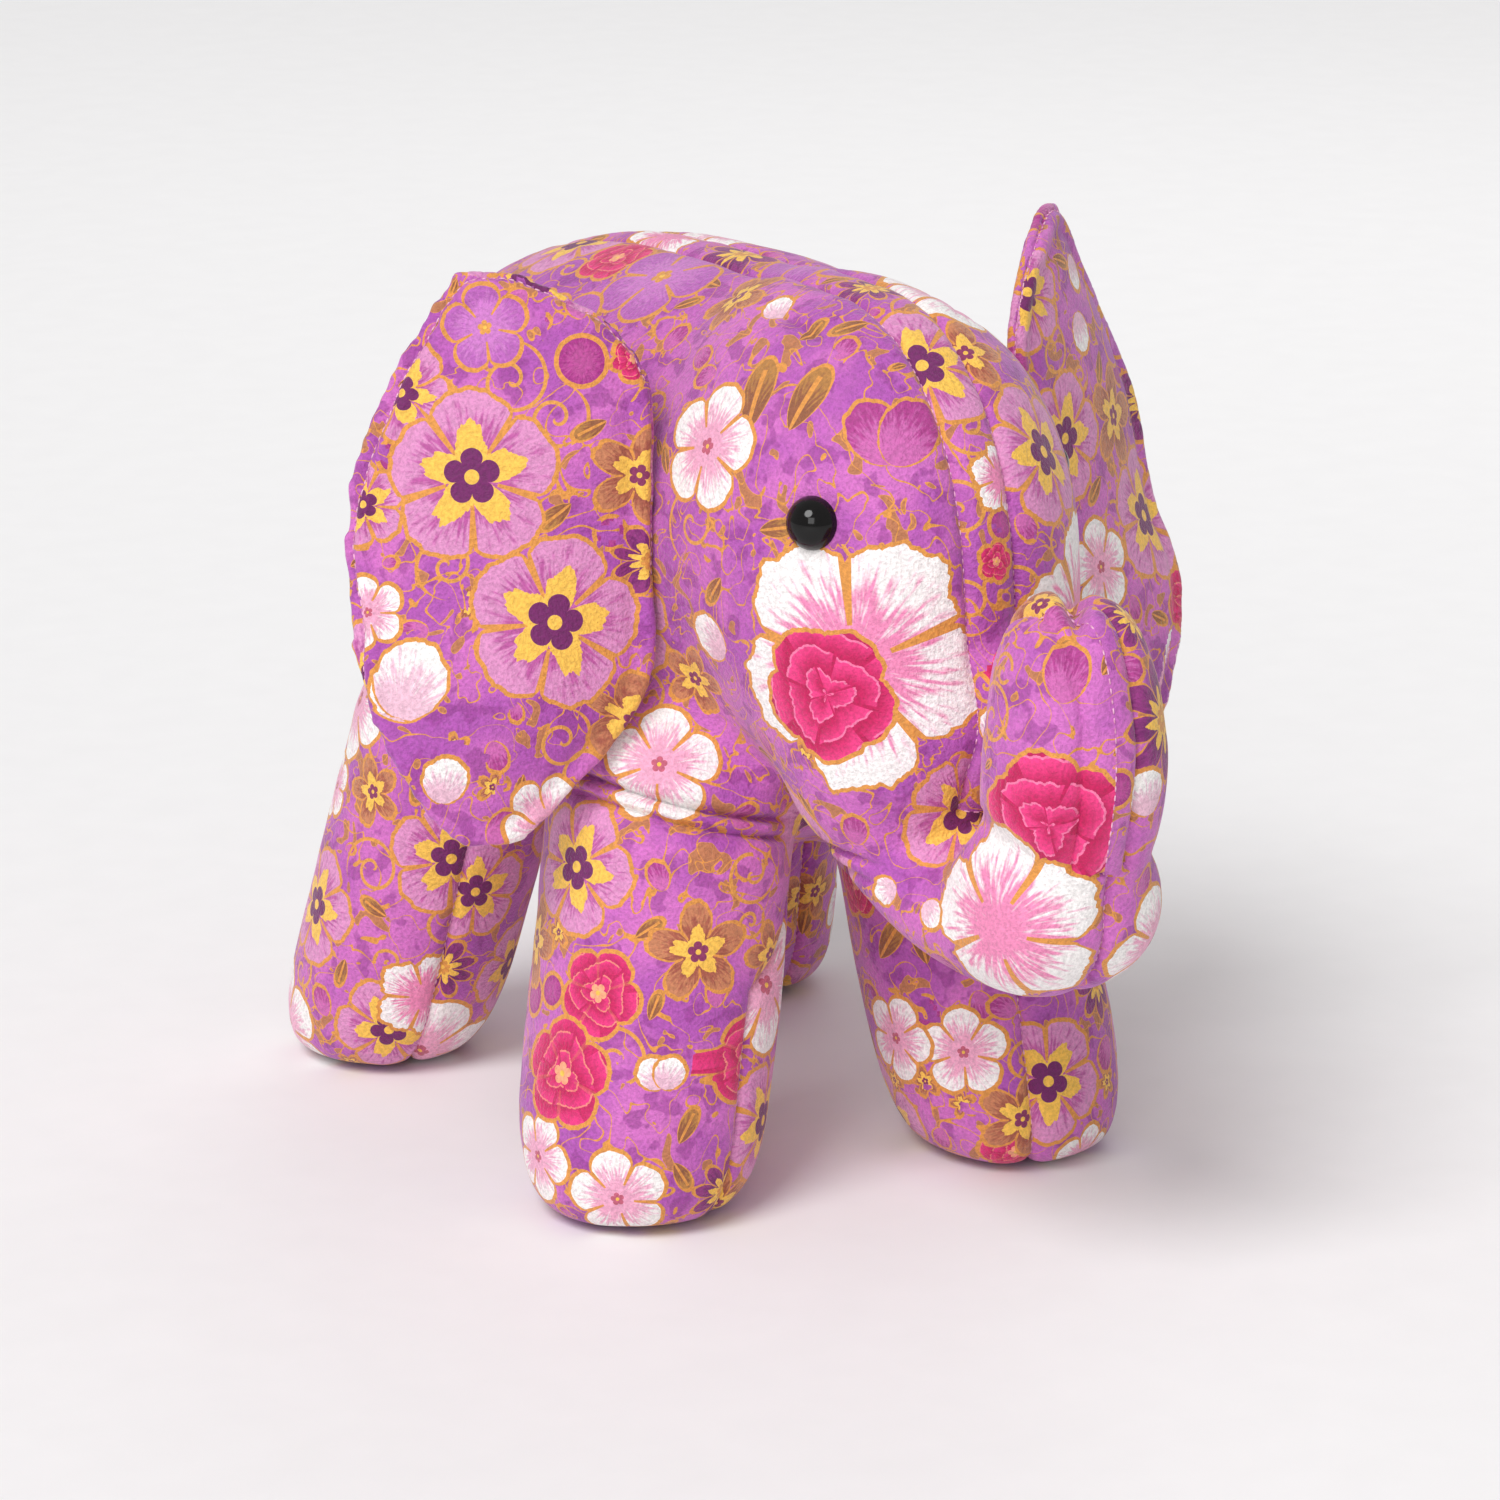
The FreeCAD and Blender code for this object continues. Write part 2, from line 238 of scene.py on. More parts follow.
def leg_field(points, leg):
    start, way = leg_reach(leg)
    return np.minimum((points - start) @ way, 47.0 - axis_distance(points, leg))


def trunk_field(points):
    ahead = np.maximum(CROOK[1] + 8 - points[:, 1], -60)
    return np.minimum((points - CROOK) @ TRUNK_WAY, ahead)


# ---- the skin: remeshed filling, puffed by a cloth simulation, then cut -------------------------
def seam_distance(points):
    """Least distance to any seam of the body."""
    top, side = top_field(points), side_field(points)
    gusset = np.where(top > 0, np.abs(gusset_field(points)), 99.0)
    belly = np.abs(side)
    centre = np.where((top < 0) & (side > 0), np.abs(points[:, 0] - middle_x(points)), 99.0)
    return np.minimum(np.minimum(gusset, belly), centre)


def remeshed(name, node_names, voxel, rounds):
    piece = joined_copy(name, node_names)
    modifier = piece.modifiers.new("voxels", "REMESH")
    modifier.mode = "VOXEL"
    modifier.voxel_size = voxel * MM
    mesh = apply_modifiers(piece)
    set_positions(mesh, smooth(positions(mesh), edges_of(mesh), rounds))
    return piece


def puff(piece, pinned, limit, pressure=250.0):
    """Blow the closed skin up as cloth, held where pinned is 1, and cap how far it moves."""
    before = positions(piece.data)
    group = piece.vertex_groups.new(name="held")
    for index in np.nonzero(pinned > 0)[0]:
        group.add([int(index)], float(pinned[index]), "REPLACE")
    cloth = piece.modifiers.new("cloth", "CLOTH")
    cloth.settings.use_pressure = True
    cloth.settings.uniform_pressure_force = pressure
    cloth.settings.effector_weights.gravity = 0
    cloth.settings.vertex_group_mass = "held"
    cloth.settings.quality = 4
    cloth.collision_settings.use_collision = False
    cloth.point_cache.frame_end = CLOTH_FRAMES
    for step in range(1, CLOTH_FRAMES + 1):
        SCENE.frame_set(step)
    mesh = apply_modifiers(piece)
    SCENE.frame_set(1)
    move = positions(mesh) - before
    length = np.linalg.norm(move, axis=1, keepdims=True)
    set_positions(mesh, before + move * np.minimum(1, limit / np.maximum(length, 1e-6)))
    piece.vertex_groups.clear()


def subdivided(piece):
    modifier = piece.modifiers.new("finer", "SUBSURF")
    modifier.levels = modifier.render_levels = 1
    return apply_modifiers(piece)


def cut_along(mesh, field, near=0.12):
    """Split edges where field crosses zero, so that a seam can run along edges."""
    points = positions(mesh)
    values = field(points)
    values[np.abs(values) < near] = 0.0
    ends = edges_of(mesh)
    first, second = values[ends[:, 0]], values[ends[:, 1]]
    crossing = np.nonzero(first * second < 0)[0]
    shape = bmesh.new()
    shape.from_mesh(mesh)
    shape.edges.ensure_lookup_table()
    shape.verts.ensure_lookup_table()
    on_line = [shape.verts[i] for i in np.nonzero(values == 0.0)[0]]
    picked = [shape.edges[i] for i in crossing]
    for edge, a, b in zip(picked, first[crossing], second[crossing]):
        _, made = bmesh.utils.edge_split(edge, edge.verts[0], float(a / (a - b)))
        on_line.append(made)
    bmesh.ops.connect_verts(shape, verts=on_line, check_degenerate=True)
    shape.to_mesh(mesh)
    shape.free()


def body_labels(mesh):
    """The panel that each face belongs to."""
    centre = centres_of(mesh)
    top, side = top_field(centre), side_field(centre)
    right = centre[:, 0] < middle_x(centre)
    labels = np.where(right, "side_panel_right", "side_panel_left").astype("U32")
    labels[(side < 0)] = "belly_gusset"
    labels[(top > 0) & (gusset_field(centre) > 0)] = "back_gusset"
    for leg in LEGS:
        inside = leg_field(centre, leg) > 0
        labels[inside & (side > 0)] = f"{leg}_outer"
        labels[inside & (side < 0)] = f"{leg}_inner"
    trunk = trunk_faces(mesh, centre)
    labels[trunk & right] = "trunk_panel_right"
    labels[trunk & ~right] = "trunk_panel_left"
    labels[trunk & (gusset_field(centre) > 0) & (centre[:, 1] > TRUNK_Y)] = "trunk_gusset"
    return labels


def trunk_faces(mesh, centre):
    """Faces of the turned-up half of the trunk: those joined to its tip above the bend."""
    above = trunk_field(centre) > 0
    neighbours = {}
    for face in mesh.polygons:
        if above[face.index]:
            for key in face.edge_keys:
                neighbours.setdefault(key, []).append(face.index)
    tip = np.array([0, TRUNK_Y, TRUNK_HIGH[2]])
    reach = np.linalg.norm(centre - tip, axis=1) + np.where(above, 0, 1e4)
    found = np.zeros(len(centre), bool)
    stack = [int(reach.argmin())]
    found[stack[0]] = True
    while stack:
        for key in mesh.polygons[stack.pop()].edge_keys:
            for other in neighbours.get(key, ()):
                if not found[other]:
                    found[other] = True
                    stack.append(other)
    return found


def dent(points, way, field, depth, width):
    """Push points in along -way near a seam, in a rounded V."""
    share = np.exp(-np.abs(field) / width)
    return points - way * (depth * share)[:, None]


def crease_field(points, leg):
    """Height above the fold where a leg flexes against the body, which rises toward the outside."""
    hip, foot = joint_at(leg), sole_at(leg)
    out = (points[:, 0] - hip[0]) * math.copysign(1, foot[0])
    front = math.copysign(1, -hip[1])
    reach = np.clip(((hip[1] - points[:, 1]) * front + 8) / 12, 0, 1) * np.clip((out + 18) / 8, 0, 1)
    reach *= np.clip((80 - axis_distance(points, leg)) / 30, 0, 1)
    return points[:, 2] - hip[2] - 3.0 - 0.26 * out, reach


def leg_crease(points, way):
    """The double fold across the top of each leg, and the fabric swelling below it."""
    for leg in LEGS:
        height, reach = crease_field(points, leg)
        size = (1.0 if "front" in leg else 0.5) * reach
        move = 1.3 * np.exp(-(((height + 12) / 7) ** 2)) + np.exp(-(((height - 7) / 5) ** 2))
        for number, depth in enumerate(FOLD_DEPTHS):
            move -= depth * np.exp(-(((height + FOLD_GAP * number) / FOLD_WIDTH) ** 2))
        points = points + way * (size * move)[:, None]
    return points


def tip_notch(points, way):
    """The dip between the two lobes of the trunk's tip."""
    across = points[:, 0] * math.cos(NOTCH_TURN) - (points[:, 1] - TRUNK_Y) * math.sin(NOTCH_TURN)
    near_top = np.clip((points[:, 2] - TRUNK_HIGH[2] + 9) / 8, 0, 1) * (points[:, 1] < TRUNK_HIGH[1] + 2)
    return points - way * (NOTCH_DEPTH * np.exp(-((across / NOTCH_WIDTH) ** 2)) * near_top)[:, None]


def dart_distance(points):
    """Distance, seen from above, from the short dart on each side of the head's top."""
    beside = np.abs(points[:, 0] - HEAD_LEAN) - 3 * GUSSET_HALF
    ahead = points[:, 1] - joint_at("ear_right")[1] + DART_AHEAD
    past = np.maximum(np.abs(ahead) - DART_LENGTH / 2, 0)
    return np.hypot(beside, past) + 99.0 * (points[:, 2] < HEAD_TOP - 25)


def eye_axis(side):
    """The middle of an eye's washer and the way the eye looks, from the flat ring's own points."""
    ring = positions(NODES[f"eye_washer_{side}"].data)
    middle = (ring.min(axis=0) + ring.max(axis=0)) / 2
    out = np.linalg.svd(ring - ring.mean(axis=0))[2][-1]
    dome = positions(NODES[f"eye_{side}"].data)
    return middle, out * np.sign(((dome - middle) @ out).mean())


def eye_dimples(points, way):
    """The fabric is drawn in round each eye, and folds a little over it."""
    for side in ("right", "left"):
        middle, out = eye_axis(side)
        gap = np.linalg.norm(points - middle - out * EYE_SOCKET, axis=1)
        points = points - way * (EYE_DIMPLE * np.exp(-((gap / 8.0) ** 2)))[:, None]
    return points


def shape_seams(mesh):
    """Sink the seams, gather the fabric beside them, and fold it at the legs and the trunk."""
    points, way = positions(mesh), normals(mesh)
    distance = seam_distance(points)
    ripple = noise_at(points, PUCKER_PITCH, 3.0) * np.exp(-distance / PUCKER_REACH)
    slack = noise_at(points, 26.0, 9.0) * 0.7
    swell = PUCKER * ripple * (distance > 0.4) + slack * np.clip(distance / 6, 0, 1)
    points = points + way * swell[:, None]
    points = dent(points, way, distance, SEAM_DEPTH, SEAM_WIDTH)
    points = dent(points, way, dart_distance(points), DART_DEPTH, SEAM_WIDTH)
    points = leg_crease(points, way)
    points = tip_notch(points, way)
    points = eye_dimples(points, way)
    set_positions(mesh, points)


# ---- the print: motifs placed on the panels, drawn by the shader from local coordinates ---------
KINDS = {
    # petals, depth, pinch, ragged | centre, flare, swirl, line, vein | petal, streak, heart
    "white": ((5, 0.34, 0.5, 0.05), (0.13, 0.0, 0, 0, 0), (250, 246, 244), (240, 170, 200), (196, 95, 120)),
    "ragged": ((5, 0.26, 0.6, 0.16), (0.0, 0.0, 0, 0, 0), (252, 247, 246), (240, 140, 185), (240, 90, 150)),
    "rose": ((5, 0.15, 0.7, 0.09), (0.0, 0.0, 1, 0, 0), (242, 62, 136), (196, 14, 88), (250, 140, 182)),
    "dahlia": ((5, 0.26, 0.45, 0.08), (0.32, 0.62, 0, 0, 0), (222, 146, 196), (190, 88, 160), (116, 32, 100)),
    "star": ((5, 0.55, 0.9, 0.1), (0.2, 0.52, 0, 0, 0), (200, 130, 92), (166, 88, 70), (140, 50, 96)),
    "purple": ((8, 0.5, 0.8, 0.08), (0.22, 0.5, 0, 0, 0), (150, 52, 128), (118, 30, 104), (222, 150, 70)),
    "disc": ((1, 0.0, 1.0, 0.03), (0.0, 0.0, 0, 0, 0), (168, 46, 134), (186, 74, 150), (222, 150, 70)),
    "bud": ((5, 0.22, 0.6, 0.06), (0.2, 0.0, 0.8, 0, 0), (236, 54, 130), (196, 20, 88), (250, 170, 130)),
    "leaf": ((1, 1.0, 24.0, 0.05), (0.0, 0.0, 0, 0, 1), (184, 128, 66), (150, 92, 62), (222, 150, 70)),
    "petal": ((1, 1.0, 8.0, 0.08), (0.0, 0.0, 0, 0, 0), (176, 60, 140), (206, 104, 176), (222, 150, 70)),
    "whitepetal": ((1, 1.0, 5.0, 0.1), (0.0, 0.0, 0, 0, 0), (250, 246, 244), (236, 190, 210), (222, 150, 70)),
    "curl": ((3, 0.0, 1.0, 0.0), (0.0, 0.0, 0, 1, 0), (228, 158, 76), (228, 158, 76), (228, 158, 76)),
    "outline": ((5, 0.34, 0.5, 0.04), (0.16, 0.0, 0, 0, 0), (186, 98, 184), (204, 122, 198), (228, 158, 76)),
}
KIND_NAMES = list(KINDS)
GOLD, FLARE = (226, 152, 72), (250, 198, 84)
LAYERS = 3


def linear(colour):
    """sRGB of 0 to 255 to the shader's linear values."""
    return tuple(((c / 255 + 0.055) / 1.055) ** 2.4 if c > 10 else c / 3295 for c in colour)


class Value:
    """A number in a shader, with arithmetic that adds Math nodes."""

    tree = None

    def __init__(self, socket):
        self.socket = socket

    def __add__(self, other):
        return calc("ADD", self, other)

    def __radd__(self, other):
        return calc("ADD", self, other)

    def __sub__(self, other):
        return calc("SUBTRACT", self, other)

    def __rsub__(self, other):
        return calc("SUBTRACT", other, self)

    def __mul__(self, other):
        return calc("MULTIPLY", self, other)

    def __rmul__(self, other):
        return calc("MULTIPLY", self, other)

    def __truediv__(self, other):
        return calc("DIVIDE", self, other)

    def __rtruediv__(self, other):
        return calc("DIVIDE", other, self)

    def __pow__(self, other):
        return calc("POWER", self, other)

    def __lt__(self, other):
        return calc("LESS_THAN", self, other)

    def __gt__(self, other):
        return calc("GREATER_THAN", self, other)


def feed(slot, value):
    if isinstance(value, Value):
        Value.tree.links.new(value.socket, slot)
    elif isinstance(value, bpy.types.NodeSocket):
        Value.tree.links.new(value, slot)
    else:
        slot.default_value = value


def node(kind, **settings):
    made = Value.tree.nodes.new(kind)
    for name, value in settings.items():
        setattr(made, name, value)
    return made


def calc(operation, *values):
    made = node("ShaderNodeMath", operation=operation)
    for slot, value in zip(made.inputs, values):
        feed(slot, value)
    return Value(made.outputs[0])


def ramp_up(value, low, high):
    """0 below low, 1 above high, smooth between."""
    made = node("ShaderNodeMapRange", interpolation_type="SMOOTHSTEP")
    for slot, given in zip(made.inputs, (value, low, high, 0.0, 1.0)):
        feed(slot, given)
    return Value(made.outputs[0])


def blend_colour(share, first, second, mode="MIX"):
    made = node("ShaderNodeMix", data_type="RGBA", blend_type=mode)
    feed(made.inputs[0], share)
    for slot, value in ((made.inputs[6], first), (made.inputs[7], second)):
        feed(slot, (*value, 1.0) if isinstance(value, tuple) else value)
    return made.outputs[2]


def split(vector):
    made = node("ShaderNodeSeparateXYZ")
    feed(made.inputs[0], vector)
    return [Value(output) for output in made.outputs]


def join(*values):
    made = node("ShaderNodeCombineXYZ")
    for slot, value in zip(made.inputs, values):
        feed(slot, value)
    return made.outputs[0]


def noise_value(vector, scale, detail=2.0, distortion=0.0):
    made = node("ShaderNodeTexNoise")
    feed(made.inputs["Vector"], vector)
    made.inputs["Scale"].default_value = scale
    made.inputs["Detail"].default_value = detail
    made.inputs["Distortion"].default_value = distortion
    return Value(made.outputs["Fac"])


def by_kind(kind, rows):
    """Looks a row up by the motif's kind, in a stepped ramp."""
    made = node("ShaderNodeValToRGB")
    ramp = made.color_ramp
    ramp.interpolation = "CONSTANT"
    for index, row in enumerate(rows):
        stop = ramp.elements[0] if index == 0 else ramp.elements.new(index / len(rows))
        stop.color = (*row[:3], 1.0)
    ramp.elements.remove(ramp.elements[-1])
    feed(made.inputs[0], (kind + 0.5) / len(rows))
    return made.outputs[0]


def new_material(name):
    """A material and its surface node; the helpers above then add to its tree."""
    material = bpy.data.materials.new(name)
    material.use_nodes = True
    Value.tree = material.node_tree
    return material, Value.tree.nodes["Principled BSDF"]


def motif_layer(attribute, below):
    """Draw one layer of motifs over the colour below."""
    source = node("ShaderNodeAttribute", attribute_name=attribute)
    u, v, code = split(source.outputs["Vector"])
    kind = calc("FLOOR", code)
    radius = (code - kind) * 100.0
    present = code > 0.001
    distance = calc("SQRT", u * u + v * v)
    r = distance / calc("MAXIMUM", radius, 1.0)
    angle = calc("ARCTAN2", v, u)
    rows = list(KINDS.values())
    petals, depth, pinch = split(by_kind(kind, [(k[0][0] / 10, k[0][1], k[0][2] / 40) for k in rows]))
    ragged, swirl, line = split(by_kind(kind, [(k[0][3], k[1][2], k[1][3]) for k in rows]))
    centre, flare, veined = split(by_kind(kind, [(k[1][0], k[1][1], k[1][4]) for k in rows]))
    petal_tint = by_kind(kind, [linear(k[2]) for k in rows])
    streak_tint = by_kind(kind, [linear(k[3]) for k in rows])
    heart_tint = by_kind(kind, [linear(k[4]) for k in rows])

    spin = join(u / (distance + 0.01), v / (distance + 0.01), code)
    edge_noise = noise_value(spin, 4.5, 3.0) - 0.5
    lobe = calc("ABSOLUTE", calc("COSINE", angle * petals * 5.0))
    outline = (1.0 - depth) + depth * (lobe ** (pinch * 40.0)) + ragged * 2.0 * edge_noise
    inside = r < outline
    stroke = 0.85 / calc("MAXIMUM", radius, 1.0)
    rim = calc("LESS_THAN", calc("ABSOLUTE", outline - r - stroke * 0.6), stroke * 0.75)
    gap = (lobe < 0.16) * (r > 0.3) * (depth < 0.9) * (depth > 0.05)

    streaks = noise_value(join(angle * 2.5, r * 0.7, code), 6.0, 2.0)
    share = ramp_up(streaks - r * 0.75 + 0.08, 0.0, 0.3)
    colour = blend_colour(share, petal_tint, streak_tint)
    wave = r * 3.1 + 0.28 * calc("SINE", angle * 3.0 + code) + 0.5 * edge_noise
    ring = calc("FLOOR", wave)
    across_petal = wave - ring
    along_petal = calc("FRACT", angle / 6.2832 * 4.0 + ring * 0.39 + 4.0)
    lit = ramp_up(across_petal * 0.8 + along_petal * 0.4, 0.15, 1.05)
    folded = blend_colour(lit, streak_tint, petal_tint)
    folded = blend_colour((across_petal > 0.9) * (along_petal > 0.12) * 0.7, folded, heart_tint)
    folded = blend_colour(along_petal < 0.06, folded, streak_tint)
    colour = blend_colour(swirl, colour, folded)
    colour = blend_colour(gap * (1.0 - swirl), colour, linear(GOLD))
    flare_edge = flare * (0.45 + 0.55 * (lobe ** 1.4) + edge_noise * 0.6)
    colour = blend_colour(r < flare_edge, colour, linear(FLARE))
    heart_edge = centre * (0.55 + 0.45 * (lobe ** 0.5))
    colour = blend_colour(r < heart_edge, colour, heart_tint)
    colour = blend_colour(r < centre * 0.26, colour, linear(FLARE))
    vein = (calc("ABSOLUTE", angle) < 0.04 / (r + 0.05)) * veined * (r < 0.8)
    colour = blend_colour(calc("MAXIMUM", rim, vein), colour, linear(GOLD))

    turn = calc("FRACT", r * 1.6 - angle / 6.2832)
    spiral = calc("ABSOLUTE", turn - 0.5) < stroke * 0.9
    shown = inside * (1.0 - line) + line * spiral * (r < 1.0)
    return blend_colour(shown * present, below, colour)


def ground(rest):
    """Orchid ground with tonal shading, wandering gold vines and small ochre leaves."""
    cloud = noise_value(rest, 0.045, 3.0)
    colour = blend_colour(ramp_up(cloud, 0.38, 0.62), linear((178, 84, 178)), linear((210, 112, 194)))
    small = noise_value(rest, 0.16, 2.0)
    colour = blend_colour(ramp_up(small, 0.55, 0.6) * 0.55, colour, linear((146, 52, 140)))
    leafy = noise_value(rest, 0.12, 1.0, 1.2)
    colour = blend_colour(ramp_up(leafy, 0.66, 0.67), colour, linear((190, 122, 84)))
    vines = calc("ABSOLUTE", noise_value(rest, 0.085, 0.6, 1.6) - 0.5) < 0.012
    edges = calc("ABSOLUTE", leafy - 0.66) < 0.008
    return blend_colour(calc("MAXIMUM", vines, edges), colour, linear(GOLD))


def crepe_material(name, tone=1.0):
    """Printed crepe: motifs over the ground, crinkled, with a soft sheen."""
    material, surface = new_material(name)
    rest = node("ShaderNodeAttribute", attribute_name="rest").outputs["Vector"]
    colour = ground(rest)
    for layer in reversed(range(LAYERS)):
        colour = motif_layer(f"motif_{layer}", colour)
    grain = noise_value(rest, 1.15, 2.0)
    fibre = noise_value(rest, 3.2, 1.0)
    shade = ramp_up(grain * 0.7 + fibre * 0.3, 0.32, 0.68) * 0.3 + 0.8 * tone
    tint = join(shade, shade, shade)
    feed(surface.inputs["Base Color"], blend_colour(1.0, colour, tint, "MULTIPLY"))
    bump = node("ShaderNodeBump")
    bump.inputs["Strength"].default_value = 0.9
    bump.inputs["Distance"].default_value = 0.0007
    feed(bump.inputs["Height"], grain * 0.75 + fibre * 0.25)
    feed(surface.inputs["Normal"], bump.outputs[0])
    feed(surface.inputs["Roughness"], ramp_up(grain, 0.2, 0.8) * 0.14 + 0.56)
    surface.inputs["Specular IOR Level"].default_value = 0.38
    surface.inputs["Sheen Weight"].default_value = 0.25
    surface.inputs["Sheen Roughness"].default_value = 0.45
    return material


def panel_spot(panel, across, up):
    """A place by shares of a panel's box: outward on an ear, forward on any other panel, and up."""
    low, high = node_box(panel)
    height = low[2] + (high[2] - low[2]) * up
    if panel.startswith("ear_"):
        root, edge = (high[0], low[0]) if "right" in panel else (low[0], high[0])
        return np.array([root + (edge - root) * across, low[1], height]), np.array([1, 0.15, 1])
    outer = low[0] if ("right" in panel) != ("inner" in panel) else high[0]
    return np.array([outer, high[1] + (low[1] - high[1]) * across, height]), np.array([0.15, 1, 1])


def add_motifs(mesh, cloths, seed):
    """Store, for every face corner, its place in up to LAYERS motifs: the main ones, then a scatter.
    cloths gives, for each piece of cloth, its faces and the panels that it is cut into."""
    rng = np.random.default_rng(seed)
    centre = centres_of(mesh)
    count = len(centre)
    face_normal = read(mesh.polygons, "normal")
    face_of_loop = np.repeat(np.arange(count), read(mesh.polygons, "loop_total", 1, int).ravel())
    points = positions(mesh)
    corner = points[read(mesh.loops, "vertex_index", 1, int).ravel()]
    stored = np.zeros((LAYERS, len(corner), 3))
    used = np.zeros(count, int)

    def place(kind, anchor, radius, turn, members):
        way = face_normal[anchor]
        up = np.array([0, 0, 1.0]) if abs(way[2]) < 0.9 else np.array([0, 1.0, 0])
        across = np.cross(up, way)
        across /= np.linalg.norm(across)
        upward = np.cross(way, across)
        c, s = math.cos(math.radians(turn)), math.sin(math.radians(turn))
        across, upward = across * c + upward * s, upward * c - across * s
        origin = centre[anchor]
        gap = centre - origin
        near = members & ((gap**2).sum(1) < (radius * 1.12 + 2) ** 2)
        near &= (face_normal @ way > -0.5) & (used < LAYERS)
        chosen = near[face_of_loop]
        local = corner[chosen] - origin
        flat = np.stack([local @ across, local @ upward], 1)
        reach = np.linalg.norm(local, axis=1) / np.maximum(np.linalg.norm(flat, axis=1), 1e-6)
        flat *= np.minimum(reach, 1.6)[:, None]
        code = KIND_NAMES.index(kind) + radius / 100
        layer = used[face_of_loop[chosen]]
        stored[layer, np.nonzero(chosen)[0]] = np.column_stack([flat, np.full(len(flat), code)])
        used[near] += 1

    for members, panels in cloths:
        index = np.nonzero(members)[0]
        taken = []
        for panel in panels:
            for kind, across, up, radius, turn in MAIN_MOTIFS.get(panel, ()):
                target, weight = panel_spot(panel, across, up)
                anchor = index[(((centre[index] - target) * weight) ** 2).sum(1).argmin()]
                place(kind, anchor, radius, turn, members)
                taken.append((centre[anchor], radius))
        for kinds, radius, tries, apart in SCATTER:
            for anchor in rng.choice(index, min(tries, len(index)), replace=False):
                size = radius * rng.uniform(0.85, 1.15)
                spot = centre[anchor]
                if all(((spot - c) ** 2).sum() > ((size + r) * apart) ** 2 for c, r in taken):
                    kind = kinds[rng.integers(len(kinds))]
                    place(kind, anchor, size, rng.uniform(0, 360), members)
                    taken.append((spot, size))
    for layer in range(LAYERS):
        attribute = mesh.attributes.new(f"motif_{layer}", "FLOAT_VECTOR", "CORNER")
        attribute.data.foreach_set("vector", stored[layer].ravel())
    attribute = mesh.attributes.new("rest", "FLOAT_VECTOR", "POINT")
    attribute.data.foreach_set("vector", points.ravel())


# kinds, radius, tries and how far apart, from large motifs to the small ones that fill the gaps
SCATTER = (
    (("dahlia", "dahlia", "outline", "white"), 17.0, 260, 0.92),
    (("white", "bud", "purple", "star", "star", "petal"), 11.0, 420, 0.84),
    (("leaf", "leaf", "petal", "curl", "petal"), 9.0, 700, 0.66),
    (("star", "disc", "curl", "leaf", "petal"), 5.0, 900, 0.74),
)
